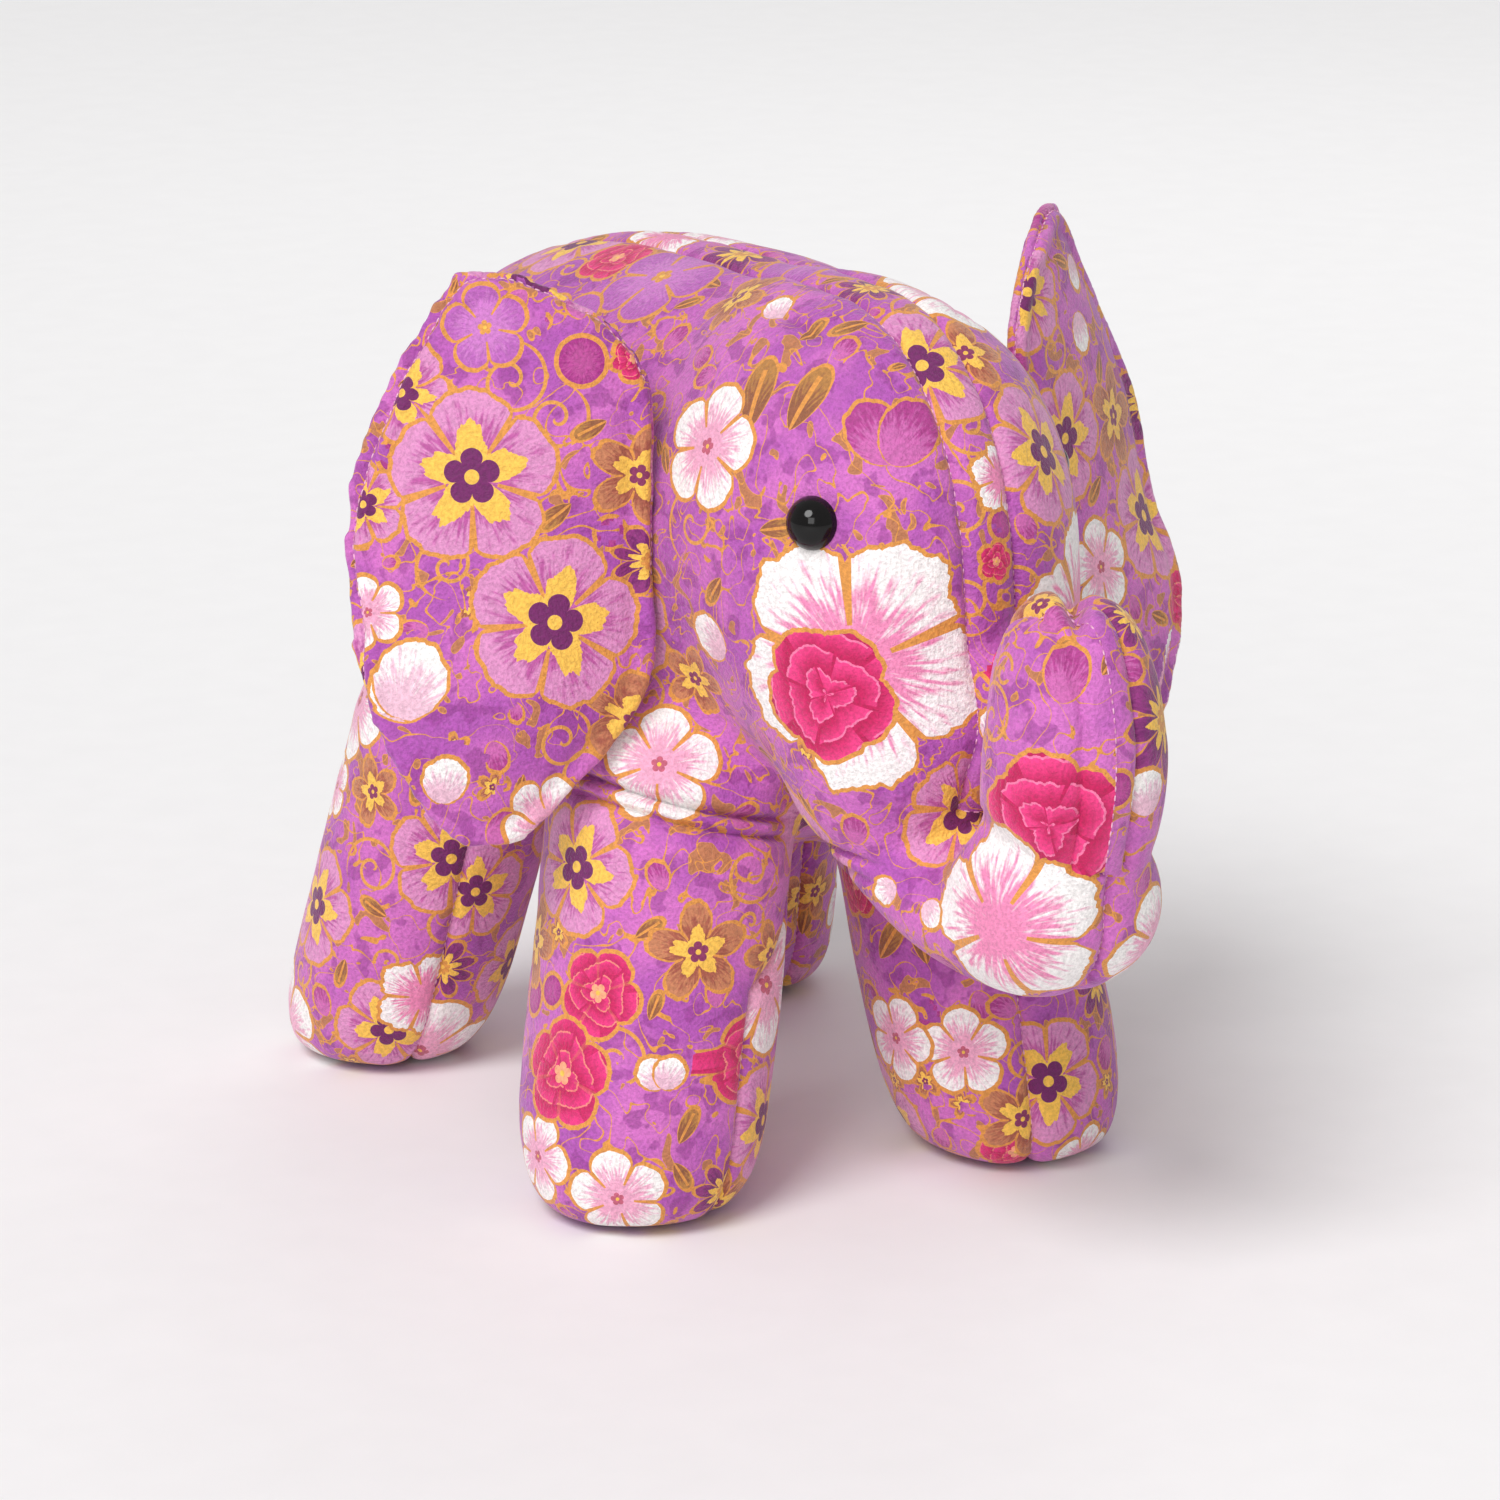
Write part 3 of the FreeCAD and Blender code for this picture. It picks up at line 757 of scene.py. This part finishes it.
# the main motifs of each panel: kind, shares of the panel's box across and up, radius and turn;
# where two overlap, the first lies on top
MAIN_MOTIFS = {
    "ear_right_front": (
        ("dahlia", 0.6, 0.65, 21, 20),
        ("dahlia", 0.4, 0.4, 21, 75),
        ("disc", 0.25, 0.85, 6.5, 0),
        ("bud", 0.1, 0.85, 6, 40),
        ("outline", 0.5, 0.9, 11, 30),
        ("star", 0.1, 0.65, 13, 0),
        ("whitepetal", 0.9, 0.25, 19, 75),
        ("whitepetal", 0.85, 0.25, 16, 125),
        ("whitepetal", 0.8, 0.1, 12, 80),
        ("dahlia", 0.8, 0.8, 13, 10),
        ("dahlia", 0.9, 0.6, 11, 40),
        ("curl", 0.7, 0.5, 8, 200),
        ("curl", 0.4, 0.2, 8, 30),
        ("star", 0.75, 0.2, 4, 30),
    ),
    "ear_left_front": (
        ("whitepetal", 0.5, 0.9, 10, 250),
        ("whitepetal", 0.45, 0.8, 11, 270),
        ("star", 0.65, 0.6, 14, 0),
        ("white", 0.45, 0.35, 13, 20),
        ("dahlia", 0.8, 0.4, 18, 0),
        ("dahlia", 0.3, 0.6, 17, 0),
    ),
    "side_panel_right": (
        ("rose", 0.78, 0.45, 17, 200),
        ("ragged", 0.8, 0.5, 31, 60),
        ("white", 0.64, 0.78, 16, 15),
        ("whitepetal", 0.67, 0.47, 13, 150),
        ("leaf", 0.68, 0.82, 19, 100),
        ("leaf", 0.72, 0.83, 18, 80),
        ("petal", 0.8, 0.8, 18, 60),
        ("petal", 0.8, 0.8, 17, 115),
        ("curl", 0.8, 0.7, 9, 0),
        ("whitepetal", 0.82, 0.15, 8, 200),
        ("whitepetal", 0.85, 0.15, 8, 320),
        ("ragged", 0.95, 0.15, 24, 100),
        ("leaf", 0.65, 0.3, 10, 10),
        ("star", 0.54, 0.97, 12, 20),
        ("whitepetal", 0.62, 0.97, 9, 30),
    ),
    "trunk_panel_right": (
        ("rose", 0.8, 0.3, 18, 100),
        ("petal", 0.8, 0.7, 14, 85),
        ("leaf", 0.85, 0.8, 11, 130),
        ("leaf", 0.9, 0.8, 10, 50),
    ),
    "leg_front_right_outer": (
        ("dahlia", 0.6, 0.62, 17, 0),
        ("star", 0.95, 0.5, 13, 20),
        ("bud", 0.7, 0.28, 14, 20),
        ("whitepetal", 0.95, 0.28, 9, 60),
        ("whitepetal", 0.95, 0.28, 9, 120),
        ("white", 0.9, 0.08, 13, 30),
        ("white", 0.65, 0.12, 12, 0),
        ("leaf", 1.0, 0.18, 10, 60),
        ("leaf", 1.0, 0.15, 9, 300),
    ),
    "leg_rear_right_outer": (
        ("dahlia", 0.35, 0.32, 16, 0),
        ("ragged", 0.75, 0.15, 13, 0),
        ("dahlia", 0.6, 0.1, 15, 40),
    ),
    "side_panel_left": (
        ("rose", 0.78, 0.45, 15, 60),
        ("ragged", 0.8, 0.5, 28, 10),
    ),
    "trunk_panel_left": (
        ("whitepetal", 0.95, 0.3, 12, 100),
        ("purple", 0.85, 0.6, 15, 0),
    ),
    "back_gusset": (
        ("ragged", 0.95, 0.7, 9, 0),
        ("bud", 1.0, 0.57, 5.5, 0),
        ("rose", 1.0, 0.43, 13, 0),
        ("whitepetal", 1.0, 0.22, 9, 90),
        ("ragged", 0.35, 1.0, 15, 20),
        ("purple", 0.5, 1.0, 14, 0),
    ),
    "leg_front_left_inner": (
        ("white", 0.65, 0.25, 12, 0),
        ("white", 0.85, 0.25, 12, 25),
        ("star", 1.0, 0.12, 12, 0),
        ("bud", 0.95, 0.05, 10, 40),
        ("leaf", 0.6, 0.4, 13, 60),
        ("leaf", 0.75, 0.42, 11, 110),
    ),
}


# ---- splitting a skin into panels ----------------------------------------------------------------
def mark_seams(mesh, labels, seamless):
    """Sharp edges where two panels meet, except between pairs that are one piece of fabric."""
    faces_at = {}
    for face in mesh.polygons:
        for key in face.edge_keys:
            faces_at.setdefault(key, []).append(face.index)
    sharp = np.zeros(len(mesh.edges), bool)
    for edge in mesh.edges:
        around = faces_at.get(edge.key, ())
        if len(around) == 2 and labels[around[0]] != labels[around[1]]:
            sharp[edge.index] = frozenset(labels[list(around)]) not in seamless
    shade_smooth(mesh)
    attribute = mesh.attributes.get("sharp_edge") or mesh.attributes.new("sharp_edge", "BOOLEAN", "EDGE")
    attribute.data.foreach_set("value", sharp)
    return sharp


def split_panels(piece, labels, seamless=frozenset()):
    """One object for each label. Fabric that runs on across a cut keeps its unbroken shading."""
    mesh = piece.data
    sharp = mark_seams(mesh, labels, seamless)
    lines = edges_of(mesh)[sharp]
    mesh.update()
    attribute = mesh.attributes.new("skin_normal", "FLOAT_VECTOR", "CORNER")
    attribute.data.foreach_set("vector", read(mesh.corner_normals, "vector", 3, np.float32).ravel())
    panels = {}
    for name in sorted(set(labels)):
        panel = link(name, mesh.copy())
        shape = bmesh.new()
        shape.from_mesh(panel.data)
        shape.faces.ensure_lookup_table()
        others = [shape.faces[i] for i in np.nonzero(labels != name)[0]]
        bmesh.ops.delete(shape, geom=others, context="FACES")
        shape.to_mesh(panel.data)
        shape.free()
        kept = panel.data.attributes["skin_normal"]
        unbroken = read(kept.data, "vector", 3, np.float32).tolist()
        panel.data.attributes.remove(kept)
        panel.data.normals_split_custom_set(unbroken)
        panels[name] = panel
    points, way = positions(mesh), normals(mesh)
    bpy.data.objects.remove(piece)
    return panels, (lines, points, way)


# ---- stitches ------------------------------------------------------------------------------------
def chains(lines):
    """Walk the seam edges into runs of vertices."""
    beside = {}
    for a, b in lines:
        beside.setdefault(int(a), []).append(int(b))
        beside.setdefault(int(b), []).append(int(a))
    unused = {frozenset((int(a), int(b))) for a, b in lines}
    starts = sorted(v for v, n in beside.items() if len(n) != 2) + sorted(beside)
    runs = []
    for start in starts:
        for follow in beside[start]:
            if frozenset((start, follow)) not in unused:
                continue
            run = [start, follow]
            unused.discard(frozenset((start, follow)))
            while len(beside[run[-1]]) == 2:
                step = [v for v in beside[run[-1]] if frozenset((run[-1], v)) in unused]
                if not step:
                    break
                unused.discard(frozenset((run[-1], step[0])))
                run.append(step[0])
            runs.append(run)
    return runs


def capsule(length, radius, sides=6):
    """Rings of a rounded stitch along X, as points and faces."""
    rings = [(-0.5, 0.35), (-0.38, 0.85), (0.0, 1.0), (0.38, 0.85), (0.5, 0.35)]
    points, faces = [], []
    for along, size in rings:
        for k in range(sides):
            angle = 2 * math.pi * k / sides
            points.append((along * length, radius * size * math.cos(angle), radius * size * math.sin(angle)))
    for ring in range(len(rings) - 1):
        for k in range(sides):
            a, b = ring * sides + k, ring * sides + (k + 1) % sides
            faces.append((a, a + sides, b + sides, b))
    faces.append(tuple(range(sides)))
    faces.append(tuple(reversed(range(len(points) - sides, len(points)))))
    return np.array(points), faces


def stitch_spots(lines, points, way, pitch, lift):
    """Evenly spaced places along the seams, each with its direction and outward way."""
    spots = []
    for run in chains(lines):
        path, out = points[run], way[run]
        if len(path) < 6:
            continue
        for _ in range(3):
            path[1:-1] = (path[:-2] + 2 * path[1:-1] + path[2:]) / 4
        length = np.concatenate([[0], np.cumsum(np.linalg.norm(np.diff(path, axis=0), axis=1))])
        count = int(length[-1] / pitch)
        for place in (np.arange(count) + 0.5) * pitch:
            spot = np.array([np.interp(place, length, path[:, k]) for k in range(3)])
            ahead = np.array([np.interp(place + 0.8, length, path[:, k]) for k in range(3)])
            behind = np.array([np.interp(place - 0.8, length, path[:, k]) for k in range(3)])
            up = np.array([np.interp(place, length, out[:, k]) for k in range(3)])
            spots.append((spot + up * lift, ahead - behind, up))
    return spots


def stitches(name, spots, length, radius, material):
    """One mesh of many thread stitches."""
    base, faces = capsule(length, radius)
    all_points, all_faces = [], []
    for spot, ahead, up in spots:
        x = ahead / (np.linalg.norm(ahead) + 1e-9)
        z = up - x * (up @ x)
        z /= np.linalg.norm(z) + 1e-9
        turned = base @ np.stack([x, np.cross(z, x), z]) + spot
        start = len(all_points) * len(base)
        all_points.append(turned)
        all_faces += [tuple(start + i for i in face) for face in faces]
    mesh = bpy.data.meshes.new(name)
    mesh.from_pydata((np.concatenate(all_points) * MM).tolist(), [], all_faces)
    shade_smooth(mesh)
    mesh.materials.append(material)
    return link(name, mesh)


def thread_material():
    material, surface = new_material("thread")
    place = node("ShaderNodeTexCoord").outputs["Object"]
    along = ramp_up(noise_value(place, 900.0, 1.0), 0.3, 0.7)
    feed(surface.inputs["Base Color"], blend_colour(along, linear((240, 190, 215)), linear((196, 110, 160))))
    surface.inputs["Roughness"].default_value = 0.55
    return material


# ---- ears ----------------------------------------------------------------------------------------
def ear_field(points, side):
    """Above zero in front of the surface midway through an ear's wadding, by height."""
    low, high = node_box(f"ear_{side}_wadding")
    wadding = positions(NODES[f"ear_{side}_wadding"].data)
    sign = RIGHT if side == "right" else LEFT
    root = np.array([EAR_ROOT_X * sign, joint_at(f"ear_{side}")[1] - 2.0])
    levels = np.linspace(low[2], high[2], 12)
    sweep = []
    for level in levels:
        slice_ = wadding[np.abs(wadding[:, 2] - level) < 8.0]
        far = slice_[np.argsort(np.abs(slice_[:, 0]))[-max(4, len(slice_) // 20):]].mean(axis=0)
        sweep.append(math.atan2(far[1] - root[1], abs(far[0] - root[0])))
    angle = np.interp(points[:, 2], levels, sweep)
    away = points[:, :2] - root
    return sign * away[:, 0] * np.sin(angle) - away[:, 1] * np.cos(angle)


def make_ear(side, material, thread):
    """A puffed lens in two panels, with a rolled seam round its edge and gathers beside it."""
    body = f"ear_{side}"
    piece = remeshed(body, [f"{body}_wadding"], EAR_VOXEL, 3)

    def field(points):
        return ear_field(points, side)

    puff(piece, np.clip(1.4 - rim_distance(piece.data, field) / 3.0, 0, 1), EAR_PUFF_LIMIT)
    subdivided(piece)
    cut_along(piece.data, field)
    mesh = piece.data
    points, way = positions(mesh), normals(mesh)
    rim = rim_distance(mesh, field)
    ripple = noise_at(points, 8.5, 21.0 + len(side)) * np.exp(-rim / 12.0) * 0.45
    slack = noise_at(points, 30.0, 33.0 + len(side)) * 1.3 * np.clip(rim / 10, 0, 1)
    roll = 0.7 * np.exp(-(((rim - 2.6) / 1.8) ** 2)) - 0.9 * np.exp(-(((rim - 6.0) / 2.2) ** 2))
    points = points + way * (ripple * (rim > 0.4) + slack + roll)[:, None]
    points = dent(points, way, rim, 1.2, 1.1)
    set_positions(mesh, points)
    front = field(centres_of(mesh)) > 0
    labels = np.where(front, f"{body}_front", f"{body}_back").astype("U32")
    add_motifs(mesh, [(labels == name, [name]) for name in sorted(set(labels))], 40 + len(side))
    mesh.materials.append(material)
    panels, (lines, where, out) = split_panels(piece, labels)
    seam = stitches(f"{body}_stitches", stitch_spots(lines, where, out, STITCH_PITCH, 0.1),
                    STITCH_LENGTH, STITCH_RADIUS, thread)
    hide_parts(f"{body}_front", f"{body}_wadding")
    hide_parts(f"{body}_back")
    for part in (*panels.values(), seam):
        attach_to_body(part, body)


def rim_distance(mesh, field):
    """Distance from each vertex to the nearest vertex on the rim, where front meets back."""
    points = positions(mesh)
    ends = edges_of(mesh)
    values = field(points)
    crossing = values[ends[:, 0]] * values[ends[:, 1]] <= 0
    share = (values[ends[:, 0]] / (values[ends[:, 0]] - values[ends[:, 1]] + 1e-9))[crossing]
    a, b = points[ends[crossing, 0]], points[ends[crossing, 1]]
    rim = a + (b - a) * np.clip(share, 0, 1)[:, None]
    tree = KDTree(len(rim))
    for index, spot in enumerate(rim):
        tree.insert(spot, index)
    tree.balance()
    return np.array([tree.find(p)[2] for p in points])


# ---- eyes and tail -------------------------------------------------------------------------------
def lathe(name, profile, base, axis, material, sides=48):
    """A turned piece: profile is (height, radius) pairs along axis from base."""
    axis = Vector(axis).normalized()
    u = axis.orthogonal().normalized()
    v = axis.cross(u)
    points, faces = [], []
    for height, radius in profile:
        for k in range(sides):
            angle = 2 * math.pi * k / sides
            spot = Vector(base) + axis * height + (u * math.cos(angle) + v * math.sin(angle)) * radius
            points.append(spot * MM)
    for ring in range(len(profile) - 1):
        for k in range(sides):
            a, b = ring * sides + k, ring * sides + (k + 1) % sides
            faces.append((a, b, b + sides, a + sides))
    faces.append(tuple(reversed(range(sides))))
    faces.append(tuple(range(len(points) - sides, len(points))))
    mesh = bpy.data.meshes.new(name)
    mesh.from_pydata(points, [], faces)
    shade_smooth(mesh)
    mesh.materials.append(material)
    return link(name, mesh)


def eye_material():
    material, surface = new_material("eye_gloss")
    place = node("ShaderNodeTexCoord").outputs["Object"]
    haze = noise_value(place, 700.0, 2.0)
    feed(surface.inputs["Base Color"], blend_colour(haze, (0.002, 0.002, 0.002), (0.005, 0.004, 0.004)))
    feed(surface.inputs["Roughness"], ramp_up(haze, 0.3, 0.8) * 0.05 + 0.07)
    surface.inputs["Specular IOR Level"].default_value = 0.32
    return material


def plastic_material():
    material, surface = new_material("washer_plastic")
    place = node("ShaderNodeTexCoord").outputs["Object"]
    haze = noise_value(place, 400.0, 3.0)
    feed(surface.inputs["Base Color"], blend_colour(haze, (0.72, 0.72, 0.70), (0.82, 0.82, 0.80)))
    surface.inputs["Roughness"].default_value = 0.5
    return material


def make_eye(side, material):
    """A glossy dome on its shank, set into the dimple."""
    middle, out = eye_axis(side)
    shape = positions(NODES[f"eye_{side}"].data) - middle
    height = shape @ out
    reach = np.linalg.norm(shape - np.outer(height, out), axis=1)
    wide = reach.max()
    rim = height[reach > wide - 0.05].mean()
    rise = height.max() - rim
    ball = (wide**2 + rise**2) / (2 * rise)
    profile = [(rim - 9.0, 1.5), (rim - 3.4, 1.5), (rim - 3.2, wide * 0.8), (rim - 2.4, wide * 0.97)]
    start = math.asin((ball - rise) / ball) - 0.3
    for k in range(17):
        angle = start + (math.pi / 2 - start) * k / 16
        profile.append((height.max() - ball + ball * math.sin(angle), max(ball * math.cos(angle), 0.04)))
    dome = lathe(f"eye_{side}_dome", profile, middle - out * EYE_DIMPLE * 0.6, out, material)
    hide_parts(f"eye_{side}")
    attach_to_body(dome, "torso")


def make_tail(material):
    """The folded strip, and the knot tied in its end."""
    low, high = node_box("tail_strip")
    knot_low, knot_high = node_box("tail_knot")
    strip = remeshed("tail_band", ["tail_strip"], 0.9, 2)
    points = positions(strip.data)
    share = (high[2] - points[:, 2]) / (high[2] - low[2])
    ridge = np.abs(points[:, 0]) / (high[0] - low[0])
    points[:, 1] += 0.8 * np.sin(share * 9) * ridge - 5.0 * np.clip(1 - share * 5, 0, 1) ** 2
    points[:, 0] += 0.7 * np.sin(share * 7 + 1)
    set_positions(strip.data, points)
    middle, size = (knot_low + knot_high) / 2, (knot_high[2] - knot_low[2]) / 2
    curve = bpy.data.curves.new("tail_tie", "CURVE")
    curve.dimensions = "3D"
    spline = curve.splines.new("NURBS")
    turns = 24
    spline.points.add(turns - 1)
    for k in range(turns):
        t = 2 * math.pi * k / turns
        x = (math.sin(t) + 2 * math.sin(2 * t)) / 3
        z = (math.cos(t) - 2 * math.cos(2 * t)) / 3
        y = -math.sin(3 * t) * 0.42
        spot = middle + np.array([x, y, z]) * (size - 2.2)
        spline.points[k].co = (*(spot * MM), 1.0)
    spline.use_cyclic_u = True
    spline.order_u = 4
    curve.bevel_depth = 2.3 * MM
    curve.bevel_resolution = 5
    curve.resolution_u = 6
    shape = link("tail_curve", curve)
    mesh = bpy.data.meshes.new_from_object(shape.evaluated_get(bpy.context.evaluated_depsgraph_get()))
    bpy.data.objects.remove(shape)
    tie = link("tail_tie", mesh)
    for part, old in ((strip, "tail_strip"), (tie, "tail_knot")):
        data = part.data
        shade_smooth(data)
        add_motifs(data, [(np.ones(len(data.polygons), bool), [old])], 71)
        data.materials.clear()
        data.materials.append(material)
        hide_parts(old)
        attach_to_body(part, "tail")


# ---- the body's skin -----------------------------------------------------------------------------
FILLINGS = ["body_stuffing", "trunk_stuffing"] + [f"{leg}_stuffing" for leg in LEGS]


def body_cloths(labels):
    """Each piece of cloth of the body: its faces, and the panels that it is cut into."""
    whole = {"trunk_gusset": "back_gusset"}
    for side in ("right", "left"):
        for name in ("trunk_panel_{}", "leg_front_{}_outer", "leg_rear_{}_outer"):
            whole[name.format(side)] = f"side_panel_{side}"
    cloths = {}
    for name in sorted(set(labels)):
        cloths.setdefault(whole.get(name, name), []).append(str(name))
    return [(np.isin(labels, panels), panels) for panels in cloths.values()]


def make_body(material, thread):
    skin = remeshed("skin", FILLINGS, VOXEL, 6)
    points = positions(skin.data)
    held = np.clip(1.6 - seam_distance(points) / 3.0, 0, 1)
    held[points[:, 2] < 4] = 1
    puff(skin, held, PUFF_LIMIT)
    mesh = subdivided(skin)
    for shift in (0.0, VALLEY, -VALLEY):
        for field in (side_field, gusset_field, lambda p: p[:, 0] - middle_x(p)):
            cut_along(mesh, lambda p: field(p) + shift)
    cut_along(mesh, trunk_field)
    for leg in LEGS:
        cut_along(mesh, lambda p: leg_field(p, leg))
        for fold in range(len(FOLD_DEPTHS)):
            for beside in (0.0, 1.1, -1.1):
                cut_along(mesh, lambda p: crease_field(p, leg)[0] + FOLD_GAP * fold + beside)
    labels = body_labels(mesh)
    shape_seams(mesh)
    add_motifs(mesh, body_cloths(labels), 5)
    mesh.materials.append(material)
    seamless = {frozenset(("back_gusset", "trunk_gusset"))}
    for side in ("right", "left"):
        seamless.add(frozenset((f"side_panel_{side}", f"trunk_panel_{side}")))
        for end in ("front", "rear"):
            seamless.add(frozenset((f"side_panel_{side}", f"leg_{end}_{side}_outer")))
            seamless.add(frozenset(("belly_gusset", f"leg_{end}_{side}_inner")))
            seamless.add(frozenset((f"side_panel_{side}", f"leg_{end}_{side}_inner")))
    panels, seams = split_panels(skin, labels, seamless)
    for name, panel in panels.items():
        body = next(b for b, nodes in BODIES.items() if name in nodes)
        extra = {"trunk_panel_right": ["trunk_stuffing"], "side_panel_right": ["body_stuffing"]}.get(name, [])
        if name.startswith("leg_") and name.endswith("_outer"):
            extra = [f"{body}_stuffing"]
        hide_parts(name, *extra)
        next(p["material_slot"] for p in frame["record"]["subparts"] if p["node"] == name)
        attach(panel, body)
    add_body_stitches(seams, thread)


def attach(piece, body):
    """Ride on the torso; a piece of a leg or the trunk only has its placement applied to its points."""
    if body == "torso":
        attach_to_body(piece, "torso")
        return
    body == "trunk"
    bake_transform(piece)


def add_body_stitches(seams, thread):
    """Stitches in every seam, in one mesh for each body."""
    spots = stitch_spots(*seams, STITCH_PITCH, 0.1)
    where = np.array([spot for spot, _, _ in spots])
    groups = np.full(len(spots), "torso", dtype="U32")
    for leg in LEGS:
        groups[leg_field(where, leg) > 0] = leg
    groups[(trunk_field(where) > 0) & (where[:, 1] < CROOK[1] + 1)] = "trunk"
    for body in sorted(set(groups)):
        chosen = [spot for spot, group in zip(spots, groups) if group == body]
        piece = stitches(f"{body}_stitches", chosen, STITCH_LENGTH, STITCH_RADIUS, thread)
        attach(piece, body)


# ---- studio --------------------------------------------------------------------------------------
def make_studio():
    target = Vector((0.0, 0.0365, 0.095))
    azimuth, elevation, distance = math.radians(-31), math.radians(16.3), 1.4
    flat = math.cos(elevation)
    back = Vector((math.sin(azimuth) * flat, -math.cos(azimuth) * flat, math.sin(elevation)))
    lens = bpy.data.cameras.new("camera")
    lens.lens, lens.sensor_width = 134.4, 36.0
    lens.shift_x, lens.shift_y = 0.0333, -0.0133
    camera = link("camera", lens)
    camera.location = target + back * distance
    camera.rotation_euler = back.to_track_quat("Z", "Y").to_euler()
    SCENE.camera = camera
    world = bpy.data.worlds.new("studio")
    world.use_nodes = True
    world.node_tree.nodes["Background"].inputs["Color"].default_value = (1.0, 0.99, 0.985, 1.0)
    world.node_tree.nodes["Background"].inputs["Strength"].default_value = 0.43
    SCENE.world = world
    SCENE.view_settings.view_transform = "Standard"
    key = bpy.data.lights.new("key", "SUN")
    key.energy, key.angle = 2.0, math.radians(30)
    lamp = link("key", key)
    lamp.rotation_euler = Vector((-0.75, -0.35, 1.0)).to_track_quat("Z", "Y").to_euler()
    soft_lights = (("side", (-0.9, -1.0, 0.7), 3.5, 0.6), ("rim", (0.9, 0.9, 1.2), 3.0, 0.8))
    for name, place, power, size in soft_lights:
        light = bpy.data.lights.new(name, "AREA")
        light.energy, light.size = power, size
        lamp = link(name, light)
        lamp.location = place
        lamp.rotation_euler = (Vector(place) - target).to_track_quat("Z", "Y").to_euler()
    floor = bpy.data.meshes.new("floor")
    reach = 6.0
    corners = [(-reach, -reach, 0), (reach, -reach, 0), (reach, reach, 0), (-reach, reach, 0)]
    floor.from_pydata(corners, [], [(0, 1, 2, 3)])
    material, surface = new_material("paper")
    place = node("ShaderNodeTexCoord").outputs["Object"]
    fibre = noise_value(place, 60.0, 4.0)
    feed(surface.inputs["Base Color"], blend_colour(fibre, (0.86, 0.855, 0.86), (0.9, 0.895, 0.9)))
    surface.inputs["Roughness"].default_value = 0.7
    floor.materials.append(material)
    link("floor", floor)


def main():
    crepe, thread = crepe_material("printed_crepe"), thread_material()
    make_body(crepe, thread)
    gloss, plastic = eye_material(), plastic_material()
    for side in ("right", "left"):
        make_ear(side, crepe, thread)
        make_eye(side, gloss)
        for part in NODES[f"eye_washer_{side}"].material_slots:
            part.material = plastic
    make_tail(crepe)
    make_studio()


main()
